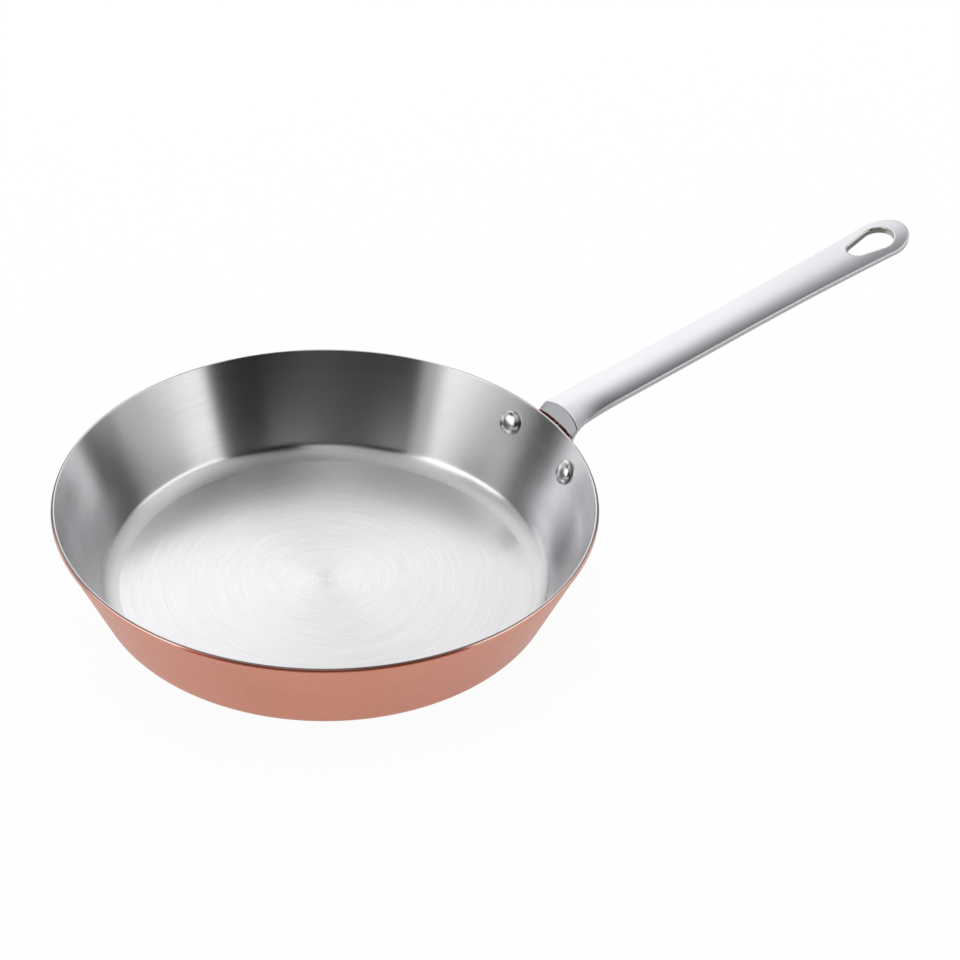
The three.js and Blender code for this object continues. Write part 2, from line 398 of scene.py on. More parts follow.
@dataclass(frozen=True)
class SatinCopper(Finish):
    """Copper with a fine turned satin, and a lip whose colour is painted light and shade by direction."""

    colour: Colour = (0.88, 0.385, 0.272)
    shade: Colour = (0.72, 0.285, 0.19)
    # Painted highlight: the lip's pink colour on the side towards the camera and by the handle.
    lip: Colour = (0.85, 0.51, 0.425)
    # Painted dark red shade at the very front of the lip, with less metal there so that it stays dark red.
    lip_painted_dark_red: Colour = (0.66, 0.20, 0.135)
    # Painted shade: the lip's dull colour everywhere else round the pan.
    lip_painted_shade: Colour = (0.17, 0.145, 0.135)
    # Direction towards the camera, flat on the floor, which sets where the lip's painted light falls.
    painted_light_side: Run = (-0.4939, -0.8695)
    painted_highlight_facing: Run = (0.1, 0.35)
    heel_painted_highlight_facing: Run = (0.982, 0.99)
    painted_dark_red_facing: Run = (0.85, 0.89)
    painted_dark_red_metal: float = 0.6
    lip_run: Run = (50.1, 50.7)
    roughness: float = 0.27
    lip_roughness: float = 0.13
    # Height up the wall over which the painted shade at the bottom fades out.
    painted_base_shade_height: float = 9.0
    lines: Grain = Grain(3.0, 3.0, 4.0)
    cloud: Grain = Grain(3.0, 3.0, 0.05, 3.0, 0.5)
    base_tone: float = 0.2
    line_tone: float = 0.35
    cloud_tone: float = 0.5
    painted_base_shade_tone: float = 0.45
    line_rough: float = 0.08
    cloud_rough: float = 0.06
    bump: float = 0.25

    def sockets(self, graph: Graph) -> Sockets:
        """Gives the shader's inputs."""
        radius, z, across, along = turned_place(graph)
        lines = self.lines.read(across, along, radius + z)
        cloud = self.cloud.read(across, along, z)
        # Painted shade towards the bottom, where the wall mirrors the floor's contact shadow close to the
        # pan.
        painted_base_shade = 1.0 - z.ease(0.0, self.painted_base_shade_height)
        tone = lines.swing(self.line_tone) + cloud.swing(self.cloud_tone)
        tone = tone + painted_base_shade * self.painted_base_shade_tone + self.base_tone
        rough = self.roughness + lines.swing(self.line_rough) + cloud.swing(self.cloud_rough)
        satin = graph.mix(tone.share(), self.colour, self.shade)
        lip = z.ease(*self.lip_run)
        # The lip's colour is painted by its direction round the pan: painted highlight towards the camera
        # and by the handle, painted dark red shade at the front, painted shade elsewhere.
        facing = across * self.painted_light_side[0] + along * self.painted_light_side[1]
        painted_highlight_share = facing.ease(*self.painted_highlight_facing).at_least(across.ease(*self.heel_painted_highlight_facing))
        painted_dark_red_share = facing.ease(*self.painted_dark_red_facing)
        edge = graph.mix(painted_dark_red_share, graph.mix(painted_highlight_share, self.lip_painted_shade, self.lip), self.lip_painted_dark_red)
        return {
            "Base Color": graph.mix(lip, satin, edge),
            "Metallic": 1.0 - lip * painted_dark_red_share * (1.0 - self.painted_dark_red_metal),
            "Roughness": rough + (self.lip_roughness - rough) * lip,
            "Normal": graph.bump(lines, self.bump),
        }


@dataclass(frozen=True)
class CutAluminium(Finish):
    """The core's cut edge at the rim."""

    colour: Colour = (0.36, 0.345, 0.34)
    shade: Colour = (0.27, 0.255, 0.25)
    roughness: float = 0.3
    lines: Grain = Grain(5.0, 5.0, 6.0)
    line_rough: float = 0.15
    bump: float = 0.3

    def sockets(self, graph: Graph) -> Sockets:
        """Gives the shader's inputs."""
        radius, z, across, along = turned_place(graph)
        lines = self.lines.read(across, along, radius + z)
        return {
            "Base Color": graph.mix(lines, self.colour, self.shade),
            "Roughness": self.roughness + lines.swing(self.line_rough),
            "Normal": graph.bump(lines, self.bump),
        }


@dataclass(frozen=True)
class PolishedCast(Finish):
    """Cast steel polished along its length; flanks and hang hole are rougher and carry painted shade."""

    colour: Colour = (0.70, 0.71, 0.735)
    shade: Colour = (0.64, 0.65, 0.675)
    # Painted shade: the flanks' darker colour, and a darker one still inside the hang hole.
    side: Colour = (0.52, 0.52, 0.525)
    bore: Colour = (0.31, 0.285, 0.25)
    roughness: float = 0.15
    rise: float = math.radians(12.55)
    side_facing: Run = (0.15, 0.5)
    side_rough: float = 0.12
    bore_start: Run = (310.0, 311.0)
    bore_stop: Run = (340.0, 341.0)
    bore_side: Run = (9.3, 10.3)
    bore_rough: float = 0.3
    drawn: Grain = Grain(0.05, 1.6, 1.6)
    cloud: Grain = Grain(0.03, 0.12, 0.12, 2.0, 0.5)
    base_tone: float = 0.35
    drawn_tone: float = 0.5
    cloud_tone: float = 0.7
    drawn_rough: float = 0.05
    cloud_rough: float = 0.06
    bump: float = 0.12

    def sockets(self, graph: Graph) -> Sockets:
        """Gives the shader's inputs."""
        x, y, z = graph.place()
        drawn = self.drawn.read(x, y, z)
        cloud = self.cloud.read(x, y, z)
        tone = drawn.swing(self.drawn_tone) + cloud.swing(self.cloud_tone) + self.base_tone
        facing = graph.node("ShaderNodeNewGeometry", None, None, "Normal")
        upright = graph.node(
            "ShaderNodeVectorMath",
            {"operation": "DOT_PRODUCT"},
            {"#0": facing, "#1": (-math.sin(self.rise), 0.0, math.cos(self.rise))},
            "Value",
        )
        # Flanks, whose normals lie near level, get more roughness and painted shade; inside the hang hole
        # the painted shade is darker.
        flank = 1.0 - abs(upright).ease(*self.side_facing)
        inside = x.ease(*self.bore_start) * (1.0 - x.ease(*self.bore_stop))
        inside = inside * (1.0 - abs(y).ease(*self.bore_side))
        rough = self.roughness + drawn.swing(self.drawn_rough) + cloud.swing(self.cloud_rough)
        polished = graph.mix(tone.share(), self.colour, self.shade)
        return {
            "Base Color": graph.mix(flank, polished, graph.mix(inside, self.side, self.bore)),
            "Roughness": rough + flank * (self.side_rough + inside * self.bore_rough),
            "Normal": graph.bump(drawn, self.bump),
        }


@dataclass(frozen=True)
class PolishedRivet(Finish):
    """A rivet's polished steel, with the fine marks of its setting tool."""

    colour: Colour = (0.78, 0.775, 0.78)
    shade: Colour = (0.66, 0.655, 0.66)
    roughness: float = 0.22
    cloud: Grain = Grain(0.45, 0.45, 0.45)
    rings: Grain = Grain(3.0, 3.0, 0.0, 2.0, 0.5)
    cloud_rough: float = 0.12
    ring_rough: float = 0.05
    ring_height: float = 0.5
    bump: float = 0.2

    def sockets(self, graph: Graph) -> Sockets:
        """Gives the shader's inputs."""
        x, y, z = graph.place()
        cloud = self.cloud.read(x, y, z)
        rings = self.rings.read(graph.math("SQRT", x * x + y * y), z, z)
        return {
            "Base Color": graph.mix(cloud, self.colour, self.shade),
            "Roughness": self.roughness + cloud.swing(self.cloud_rough) + rings.swing(self.ring_rough),
            "Normal": graph.bump(rings * self.ring_height + cloud, self.bump, 2.0 * MARK_DEPTH),
        }


def mesh_object(name: str, points: Array, faces: Sequence[Sequence[int]]) -> Piece:
    """Makes a smooth mesh object in the scene.

    Args:
        name: The piece's name.
        points: Vertices in metres.
        faces: Vertex numbers of each face.

    Returns:
        The object.
    """
    mesh = bpy.data.meshes.new(name)
    mesh.from_pydata(points.tolist(), [], [list(face) for face in faces])
    mesh.update()
    mesh.shade_smooth()
    made = bpy.data.objects.new(name, mesh)
    bpy.context.scene.collection.objects.link(made)
    return made


def lathe(name: str, profile: Sequence[Point], segments: int) -> Piece:
    """Turns a profile about the Z axis into a closed skin.

    Args:
        name: The piece's name.
        profile: Radius and height in millimetres, from the axis out and back to the axis.
        segments: Number of steps round the axis.

    Returns:
        The object.
    """
    turns = np.arange(segments) * (2.0 * math.pi / segments)
    rows: list[list[int]] = []
    points: list[Place] = []
    for radius, height in profile:
        start = len(points)
        if radius < ON_AXIS:
            points.append((0.0, 0.0, height))
            rows.append([start] * segments)
        else:
            points += [(radius * math.cos(turn), radius * math.sin(turn), height) for turn in turns]
            rows.append(list(range(start, start + segments)))
    faces: list[list[int]] = []
    for lower, upper in zip(rows, rows[1:]):
        for step in range(segments):
            after = (step + 1) % segments
            corners = [lower[step], lower[after], upper[after], upper[step]]
            faces.append(list(dict.fromkeys(corners)))
    return mesh_object(name, np.array(points) * MM, faces)


def dress(piece: Piece, node: str, material: Material) -> None:
    """Gives a piece its finish and its place in the frame.

    Args:
        piece: The new piece.
        node: The CAD node that it stands for.
        material: Its material.
    """
    piece.data.materials.clear()
    piece.data.materials.append(material)
    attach(piece, BODY)
    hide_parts(node)
    LOG.info("%s: %d faces", piece.name, len(piece.data.polygons))


@dataclass
class CladBody:
    """The pan's three bonded plies, in millimetres."""

    rim_radius: float = 133.0
    height: float = 51.0
    lean: float = math.radians(24.5)
    corner_radius: float = 12.0
    copper: float = 1.1
    core: float = 0.5
    liner: float = 0.5
    bond: float = 0.02
    bead: float = 0.25
    bead_depth: float = 1.6
    bead_fillet: float = 2.0
    crest: float = 0.3
    core_drop: float = 0.12
    ply_edge: float = 0.05
    segments: int = 288
    corner_steps: int = 18
    wall_step: float = 2.0
    base_step: float = 6.0
    rim_steps: int = 28
    least_rim_steps: int = 4
    fillet_steps: int = 6

    @property
    def thickness(self) -> float:
        """Thickness of the whole clad wall."""
        return self.copper + self.core + self.liner + 2.0 * self.bond

    def wall_radius(self, height: float, depth: float) -> float:
        """Radius of the wall at a height, for the surface a depth inside the outer one."""
        return self.rim_radius - (self.height - height) * math.tan(self.lean) - depth / math.cos(self.lean)

    def wall_point(self, depth: float, rise: float) -> Point:
        """Point of the wall's section.

        Args:
            depth: Distance inwards from the outer surface.
            rise: Distance along the wall above the square cut through the rim's outer edge.

        Returns:
            Radius and height.
        """
        sine, cosine = math.sin(self.lean), math.cos(self.lean)
        return (
            self.rim_radius - depth * cosine + rise * sine,
            self.height + depth * sine + rise * cosine,
        )

    @property
    def outer_round(self) -> float:
        """Radius of the rim's outer bead."""
        return self.bead_depth + self.bead

    @property
    def inner_round(self) -> float:
        """Radius of the rim's inner edge, which meets the bead at the crest."""
        return self.thickness - self.bead_depth

    @property
    def bead_joint(self) -> float:
        """Angle below the bead's outermost line at which its fillet to the wall begins."""
        return math.acos((self.bead_depth + self.bead_fillet) / (self.outer_round + self.bead_fillet))

    def round_rise(self, depth: float) -> float:
        """Rise of the rounded rim at a depth."""
        off = depth - self.bead_depth
        radius = self.outer_round if off < 0.0 else self.inner_round
        return self.crest - radius + math.sqrt(max(0.0, radius**2 - off**2))

    def rim_turn(self, depth: float) -> float:
        """Angle over the rim at a depth: 0 at the bead's outermost line, a quarter turn at the crest."""
        off = depth - self.bead_depth
        if off < 0.0:
            return math.acos(min(1.0, -off / self.outer_round))
        return math.pi / 2.0 + math.asin(min(1.0, off / self.inner_round))

    def rim_point(self, turn: float, drop: float) -> Point:
        """Point of the rim at an angle over it, a drop below its round."""
        outside = turn < math.pi / 2.0
        radius = self.outer_round if outside else self.inner_round
        depth = self.bead_depth - radius * math.cos(turn)
        return self.wall_point(depth, self.crest - radius + radius * math.sin(turn) - drop)

    def fillet_points(self) -> list[Point]:
        """Hollow between the wall and the bead."""
        hollow = self.bead_fillet
        joint = self.bead_joint
        centre = self.crest - self.outer_round - (self.outer_round + hollow) * math.sin(joint)
        turns = [joint * step / self.fillet_steps for step in range(self.fillet_steps)]
        return [
            self.wall_point(hollow * (math.cos(turn) - 1.0), centre + hollow * math.sin(turn))
            for turn in turns
        ]

    def surface(self, depth: float) -> list[Point]:
        """Profile of one surface from the axis to just under the rim.

        Args:
            depth: Distance inside the outer surface.

        Returns:
            Points from the axis outwards.
        """
        centre = self.wall_radius(self.corner_radius, self.corner_radius)
        radius = self.corner_radius - depth
        rings = round(centre / self.base_step)
        points = [(centre * step / rings, depth) for step in range(rings)]
        for step in range(self.corner_steps + 1):
            turn = (math.pi / 2.0 - self.lean) * step / self.corner_steps
            points.append((centre + radius * math.sin(turn), self.corner_radius - radius * math.cos(turn)))
        foot = self.wall_rise(points[-1])
        top = self.round_rise(depth) - self.core_drop - 2.0 * self.ply_edge
        if depth == 0.0:
            top = self.wall_rise(self.fillet_points()[0]) - self.wall_step / 2.0
        rows = round((top - foot) / self.wall_step)
        points += [self.wall_point(depth, foot + (top - foot) * step / rows) for step in range(1, rows + 1)]
        return points

    def wall_rise(self, point: Point | tuple[Array, Array]) -> float | Array:
        """Distance of a point along the wall from the square cut."""
        out, up = point[0] - self.rim_radius, point[1] - self.height
        return out * math.sin(self.lean) + up * math.cos(self.lean)

    def ply_profile(self, depth: float, thickness: float, drop: float) -> list[Point]:
        """Section of one ply, with its share of the rounded rim.

        Args:
            depth: Depth of its outer face.
            thickness: Its thickness.
            drop: How far its edge lies below the rim's round.

        Returns:
            Points from the axis, over the rim and back to the axis.
        """
        inner = depth + thickness
        first = depth if depth == 0.0 else depth + self.ply_edge
        last = inner if inner >= self.thickness - TINY else inner - self.ply_edge
        start = -self.bead_joint if depth == 0.0 else self.rim_turn(first)
        stop = self.rim_turn(last)
        steps = max(self.least_rim_steps, round(self.rim_steps * (stop - start) / math.pi))
        top = [self.rim_point(start + (stop - start) * step / steps, drop) for step in range(steps + 1)]
        shoulder = drop + self.ply_edge
        before = [self.wall_point(depth, self.round_rise(first) - shoulder)]
        if depth == 0.0:
            before = self.fillet_points()
        after = [] if last == inner else [self.wall_point(inner, self.round_rise(last) - shoulder)]
        return [*self.surface(depth), *before, *top, *after, *reversed(self.surface(inner))]

    def build(self, cutters: Sequence[Piece]) -> None:
        """Builds and dresses the plies.

        Args:
            cutters: The rivet holes' cutters.
        """
        core_depth = self.copper + self.bond
        liner_depth = core_depth + self.core + self.bond
        copper = SatinCopper().material("satin_copper")
        aluminium = CutAluminium().material("cut_aluminium")
        steel = BrushedSteel().material("brushed_steel")
        plan = (
            ("copper_body", 0.0, self.copper, 0.0, "copper_shell", Slot.COPPER, copper),
            ("core_edge", core_depth, self.core, self.core_drop, "aluminium_core", Slot.CORE, aluminium),
            ("brushed_liner", liner_depth, self.liner, 0.0, "steel_liner", Slot.LINER, steel),
        )
        for name, depth, thickness, drop, node, slot, material in plan:
            piece = lathe(name, self.ply_profile(depth, thickness, drop), self.segments)
            for cutter in cutters:
                cut(piece, cutter)
            dress(piece, node, material)


def cut(piece: Piece, cutter: Piece) -> None:
    """Cuts one mesh out of another for good.

    Args:
        piece: The piece that is cut.
        cutter: The closed mesh that is taken away.
    """
    modifier = piece.modifiers.new("cut", "BOOLEAN")
    modifier.operation = "DIFFERENCE"
    modifier.solver = "EXACT"
    modifier.object = cutter
    graph = bpy.context.evaluated_depsgraph_get()
    result = bpy.data.meshes.new_from_object(piece.evaluated_get(graph))
    piece.modifiers.clear()
    piece.data = result


@dataclass
class Rivets:
    """Two rivets with domed heads inside the pan and formed heads behind the flange, in millimetres."""

    body: CladBody
    spacing: float = 51.4
    drop: float = 12.3
    shank: float = 5.0
    dome: float = 12.5
    dome_height: float = 2.9
    dome_edge: float = 0.5
    formed: float = 10.0
    formed_height: float = 2.0
    formed_edge: float = 0.4
    fit: float = 0.3
    flange: float = 2.4
    foot: tuple[Point, ...] = ((0.3, 0.0), (0.08, 0.2), (0.0, 0.6))
    segments: int = 64
    dome_steps: int = 16
    bore_half: float = 6.0
    bore_segments: int = 32

    @property
    def level(self) -> float:
        """Height of the rivets' axes on the outer wall."""
        return self.body.height - self.drop

    def axis(self, side: Side) -> tuple[Vector, Vector]:
        """Seat and direction of a rivet.

        Args:
            side: Which rivet.

        Returns:
            Its point on the outer wall, and the unit vector through the wall to the inside.
        """
        radius = self.body.wall_radius(self.level, 0.0)
        turn = side.value * math.asin(self.spacing / 2.0 / radius)
        outward = Vector((math.cos(turn), math.sin(turn), 0.0))
        inward = outward * -math.cos(self.body.lean)
        inward.z = math.sin(self.body.lean)
        seat = outward * radius
        seat.z = self.level
        return seat, inward

    def placement(self, side: Side) -> Matrix:
        """Matrix that carries a rivet from the Z axis to its seat, in metres."""
        seat, inward = self.axis(side)
        turn = Vector((0.0, 0.0, 1.0)).rotation_difference(inward)
        return Matrix.Translation(seat * MM) @ turn.to_matrix().to_4x4()

    def head(self, radius: float, seat: float, edge: float, height: float) -> list[Point]:
        """Profile of a head from its seat's edge to the axis.

        Args:
            radius: Half of its diameter.
            seat: Height of its seat.
            edge: Height of its straight edge, negative for a head that points down.
            height: Its whole height, with the same sign.

        Returns:
            Points from the edge to the axis.
        """
        points = [(radius - abs(edge) * inset, seat + edge * up) for inset, up in self.foot]
        for step in range(self.dome_steps + 1):
            turn = math.pi / 2.0 * step / self.dome_steps
            across = 0.0 if step == self.dome_steps else radius * math.cos(turn)
            points.append((across, seat + edge + (height - edge) * math.sin(turn)))
        return points

    def profile(self) -> list[Point]:
        """Section of a rivet, from the formed head's centre to the dome's."""
        sag = (self.dome / 2.0) ** 2 / (2.0 * self.body.wall_radius(self.level, self.body.thickness))
        dome_seat = self.body.thickness + self.fit + sag
        formed_seat = -(self.fit + self.flange + self.fit)
        shank = self.shank / 2.0
        below = self.head(self.formed / 2.0, formed_seat, -self.formed_edge, -self.formed_height)
        above = self.head(self.dome / 2.0, dome_seat, self.dome_edge, self.dome_height)
        return [*reversed(below), (shank, formed_seat), (shank, dome_seat), *above]

    def cutters(self) -> list[Piece]:
        """Makes the cylinders that bore the plies for the shanks."""
        radius, half = self.shank / 2.0 + self.fit, self.bore_half
        made = []
        for side in Side:
            profile = [(0.0, -half), (radius, -half), (radius, half), (0.0, half)]
            piece = lathe("bore", profile, self.bore_segments)
            piece.matrix_world = self.placement(side)
            made.append(piece)
        bpy.context.view_layer.update()
        return made

    def build(self) -> None:
        """Builds and dresses both rivets."""
        finish = PolishedRivet().material("polished_rivet")
        for side in Side:
            name = side.name.lower()
            piece = lathe(f"rivet_head_{name}", self.profile(), self.segments)
            piece.matrix_world = self.placement(side)
            dress(piece, f"rivet_{name}", finish)


def rounded_cut(first: Array, second: Array, radius: Array | float) -> Array:
    """Intersection of two distance fields with a round outer edge.

    Args:
        first: Distance to the first form.
        second: Distance to the second form.
        radius: Radius of the edge.

    Returns:
        The joint distance.
    """
    near = np.hypot(np.maximum(first + radius, 0.0), np.maximum(second + radius, 0.0))
    return np.minimum(np.maximum(first, second), -radius) + near


def rounded_join(first: Array, second: Array, radius: Array | float) -> Array:
    """Union of two distance fields with a round fillet.

    Args:
        first: Distance to the first form.
        second: Distance to the second form.
        radius: Radius of the fillet.

    Returns:
        The joint distance.
    """
    near = np.hypot(np.maximum(radius - first, 0.0), np.maximum(radius - second, 0.0))
    return np.maximum(np.minimum(first, second), radius) - near


@dataclass
class CastHandle:
    """The handle with its flange, one casting described by its distance field, in millimetres."""

    body: CladBody
    rivets: Rivets
    reach: float = 216.2
    rise: float = math.radians(12.55)
    over_rim: float = 6.65
    dip: float = 2.4
    dip_run: float = 30.0
    sag: float = 0.6
    sag_distance: float = 72.0
    sag_run: float = 90.0
    crown: float = 60.0
    neck_width: float = 26.0
    waist_width: float = 24.0
    waist_distance: float = 100.0
    tip_width: float = 28.8
    depth: float = 4.5
    root: float = 8.2
    top_edge: float = 0.9
    heel_top_edge: float = 0.25
    top_edge_run: Run = (6.0, 24.0)
    under_edge: float = 1.0
    heel_gap: float = 1.0
    heel_relief: float = 0.5
    heel_step: float = 0.5
    heel_lean: float = math.radians(39.1)
    heel_flare: float = 0.00107
    bead_gap: float = 0.15
    heel_edge: float = 0.25
    hole_length: float = 27.0
    hole_width: float = 17.2
    hole_narrow: float = 11.6
    hole_land: float = 8.9
    hole_edge: float = 0.9
    flange_land: float = 6.8
    flange_edge: float = 0.9
    neck_fillet: float = 8.0
    under_fillet: float = 6.0
    cells: Place = (0.7, 0.5, 0.5)
    low: Place = (119.0, -36.0, -29.0)
    high: Place = (351.5, 36.0, 4.0)
    probe: float = 0.02
    settle_steps: int = 6
    least_slope: float = 0.25

    def spine(self, distance: Array) -> Array:
        """Height of the stem's top line at a distance from the rim."""
        dip = self.dip * np.maximum(0.0, 1.0 - distance / self.dip_run) ** 2
        off = np.minimum(1.0, np.abs(distance - self.sag_distance) / self.sag_run)
        sag = self.sag * np.cos(off * math.pi / 2.0) ** 2
        return self.body.height + self.over_rim + distance * math.tan(self.rise) - dip - sag

    def top_round(self, distance: Array) -> Array:
        """Radius of the top's edges at a distance from the rim: crisp at the heel, softer along the stem."""
        start, stop = self.top_edge_run
        share = np.clip((distance - start) / (stop - start), 0.0, 1.0)
        return self.heel_top_edge + (self.top_edge - self.heel_top_edge) * share**2 * (3.0 - 2.0 * share)

    def half_width(self, distance: Array) -> Array:
        """Half width of the stem at a distance, short of the round tip."""
        waist = self.waist_width / 2.0
        tip = self.tip_width / 2.0
        run = self.reach - tip - self.waist_distance
        outer = waist + (tip - waist) * (np.maximum(0.0, distance - self.waist_distance) / run) ** 2
        inner = (self.neck_width / 2.0 - waist) * np.maximum(0.0, 1.0 - distance / self.waist_distance) ** 2
        return np.minimum(outer, tip) + inner

    def plan_distance(self, distance: Array, y: Array) -> Array:
        """Distance from the stem's outline seen from above."""
        centre = self.reach - self.tip_width / 2.0
        sides = np.abs(y) - self.half_width(distance)
        tip = np.hypot(distance - centre, y) - self.tip_width / 2.0
        return np.where(distance > centre, tip, sides)

    def flange_distance(self, y: Array, z: Array) -> Array:
        """Distance from the flange's outline seen along the handle."""
        wing = self.rivets.spacing / 2.0
        across = np.maximum(np.abs(y) - wing, 0.0)
        bar = np.hypot(across, z - self.rivets.level) - self.flange_land
        neck = np.maximum(np.abs(y) - self.neck_width / 2.0, self.rivets.level - z)
        return rounded_join(bar, neck, self.neck_fillet)

    def hole_distance(self, x: Array, y: Array, z: Array) -> Array:
        """Distance from the hang hole: a wide and a narrow round end joined by their tangents."""
        tip = self.body.rim_radius + self.reach
        pivot = float(self.spine(np.array(self.reach)))
        along = (x - tip) * math.cos(self.rise) + (z - pivot) * math.sin(self.rise)
        wide, narrow = self.hole_width / 2.0, self.hole_narrow / 2.0
        gap = self.hole_length - wide - narrow
        reach = -(along + self.hole_land + wide)
        slope = (wide - narrow) / gap
        level = math.sqrt(1.0 - slope**2)
        side = np.abs(y)
        share = -slope * side + level * reach
        start = np.hypot(side, reach) - wide
        stop = np.hypot(side, reach - gap) - narrow
        between = side * level + reach * slope - wide
        return np.where(share < 0.0, start, np.where(share > level * gap, stop, between))

    def heel_distance(self, y: Array, z: Array, radius: Array, clear: Array) -> Array:
        """Distance from the heel's flared facet and groove above the rim, and from the wall below it."""
        rim = self.body.rim_radius + self.heel_gap
        over = np.maximum(0.0, z - self.body.height - self.heel_step)
        flare = math.tan(self.heel_lean) * (1.0 + self.heel_flare * y**2)
        heel = (rim + over * flare - radius) * np.where(over > 0.0, math.cos(self.heel_lean), 1.0)
        groove = z > self.body.height - self.heel_relief
        return np.where(groove, np.maximum(heel, clear), clear)

    def distance(self, points: Array) -> Array:
        """Signed distance from the handle's surface.

        Args:
            points: Rows of x, y and z.

        Returns:
            The distances, negative inside.
        """
        x, y, z = points.T
        beyond = x - self.body.rim_radius
        spine = self.spine(beyond)
        slope = math.cos(self.rise)
        under = (spine - self.depth - z) * slope
        stem = rounded_cut(self.plan_distance(beyond, y), under, self.under_edge)
        stem = np.maximum(stem, -self.root - beyond)
        radius = np.hypot(x, y)
        wall = self.body.rim_radius - (self.body.height - z) * math.tan(self.body.lean)
        off = (radius - wall) * math.cos(self.body.lean)
        fit = self.rivets.fit
        plate = rounded_cut(off - fit - self.rivets.flange, self.flange_distance(y, z), self.flange_edge)
        plate = np.maximum(plate, fit - off)
        whole = rounded_join(stem, plate, self.under_fillet)
        lateral = np.sqrt(1.0 + (y / self.crown) ** 2)
        top = (z - spine + y**2 / (2.0 * self.crown)) * slope / lateral
        whole = rounded_cut(whole, top, self.top_round(beyond))
        bead = np.hypot(
            off + self.body.bead_depth,
            self.body.wall_rise((radius, z)) - self.body.crest + self.body.outer_round,
        )
        whole = np.maximum(whole, self.body.outer_round + self.bead_gap - bead)
        whole = rounded_cut(whole, self.heel_distance(y, z, radius, fit - off), self.heel_edge)
        whole = rounded_cut(whole, -self.hole_distance(x, y, z), self.hole_edge)
        for side in Side:
            seat, inward = self.rivets.axis(side)
            apart = points - np.array(seat)
            along = apart @ np.array(inward)
            bore = np.sqrt(np.maximum(0.0, np.sum(apart**2, axis=1) - along**2))
            whole = np.maximum(whole, self.rivets.shank / 2.0 + fit - bore)
        return whole

    def gradient(self, points: Array) -> Array:
        """Slope of the distance, which points the way it grows.

        Args:
            points: Rows of x, y and z.

        Returns:
            Rows of slopes along x, y and z.
        """
        parts = []
        for axis in range(3):
            shift = np.zeros(3)
            shift[axis] = self.probe
            parts.append(self.distance(points + shift) - self.distance(points - shift))
        return np.stack(parts, axis=1) / (2.0 * self.probe)

    def follow(self, points: Array) -> Array:
        """Carries points of a straight grid to one that follows the stem's top line and its sides.

        Args:
            points: Rows of x, y and height over the top line.

        Returns:
            Rows of x, y and z.
        """
        x, y, z = points.T
        beyond = x - self.body.rim_radius
        width = self.half_width(np.maximum(beyond, 0.0)) / (self.neck_width / 2.0)
        return np.stack([x, y * width, z + self.spine(beyond)], axis=1)

    def build(self) -> None:
        """Builds and dresses the handle."""
        points, faces = skin(lambda rows: self.distance(self.follow(rows)), self.low, self.high, self.cells)
        points = self.follow(points)
        reach = min(self.cells) / 2.0
        for _ in range(self.settle_steps):
            slope = self.gradient(points)
            size = np.sum(slope**2, axis=1, keepdims=True)
            step = self.distance(points)[:, None] * slope / np.maximum(size, self.least_slope)
            points = points - np.clip(step, -reach, reach)
        normals = self.gradient(points)
        normals = normals / np.maximum(np.linalg.norm(normals, axis=1, keepdims=True), TINY)
        piece = mesh_object("cast_handle", points * MM, faces)
        piece.data.normals_split_custom_set_from_vertices(normals.tolist())
        dress(piece, "handle", PolishedCast().material("polished_cast"))


def skin(
    field_of: Callable[[Array], Array],
    low: Place,
    high: Place,
    widths: Place,
) -> tuple[Array, Array]:
    """Wraps a closed skin of four-sided faces round a distance field.

    Args:
        field_of: Gives the distances of rows of points.
        low: Lowest corner of the space.
        high: Highest corner of the space.
        widths: Widths of a cell.

    Returns:
        Points, and faces of four point numbers.
    """
    axes = [np.arange(start, stop + cell, cell) for start, stop, cell in zip(low, high, widths)]
    shape = tuple(len(axis) for axis in axes)
    values = np.empty(shape)
    yy, zz = np.meshgrid(axes[1], axes[2], indexing="ij")
    for index, x in enumerate(axes[0]):
        rows = np.stack([np.full(yy.size, x), yy.ravel(), zz.ravel()], axis=1)
        values[index] = field_of(rows).reshape(yy.shape)
    sums = np.zeros((shape[0] - 1, shape[1] - 1, shape[2] - 1, 3))
    counts = np.zeros(sums.shape[:3])
    crossings = []
    for axis in range(3):
        first = [slice(None)] * 3
        second = [slice(None)] * 3
        first[axis] = slice(0, -1)
        second[axis] = slice(1, None)
        start, stop = values[tuple(first)], values[tuple(second)]
        found = np.argwhere((start < 0.0) != (stop < 0.0))
        here = tuple(found.T)
        share = start[here] / (start[here] - stop[here])
        spots = found.astype(float)
        spots[:, axis] += share
        around = []
        for back_b, back_c in ((0, 0), (1, 0), (1, 1), (0, 1)):
            cells = found.copy()
            cells[:, (axis + 1) % 3] -= back_b
            cells[:, (axis + 2) % 3] -= back_c
            around.append(tuple(cells.T))
            np.add.at(sums, around[-1], spots)
            np.add.at(counts, around[-1], 1.0)
        crossings.append((around, start[here] < 0.0))
    used = counts > 0.0
    numbers = np.full(counts.shape, -1)
    numbers[used] = np.arange(int(used.sum()))
    points = sums[used] / counts[used][:, None] * np.array(widths) + np.array(low)
    faces = []
    for around, leaving in crossings:
        quads = np.stack([numbers[place] for place in around], axis=1)
        quads[~leaving] = quads[~leaving][:, ::-1]
        faces.append(quads)
    return points, np.concatenate(faces)


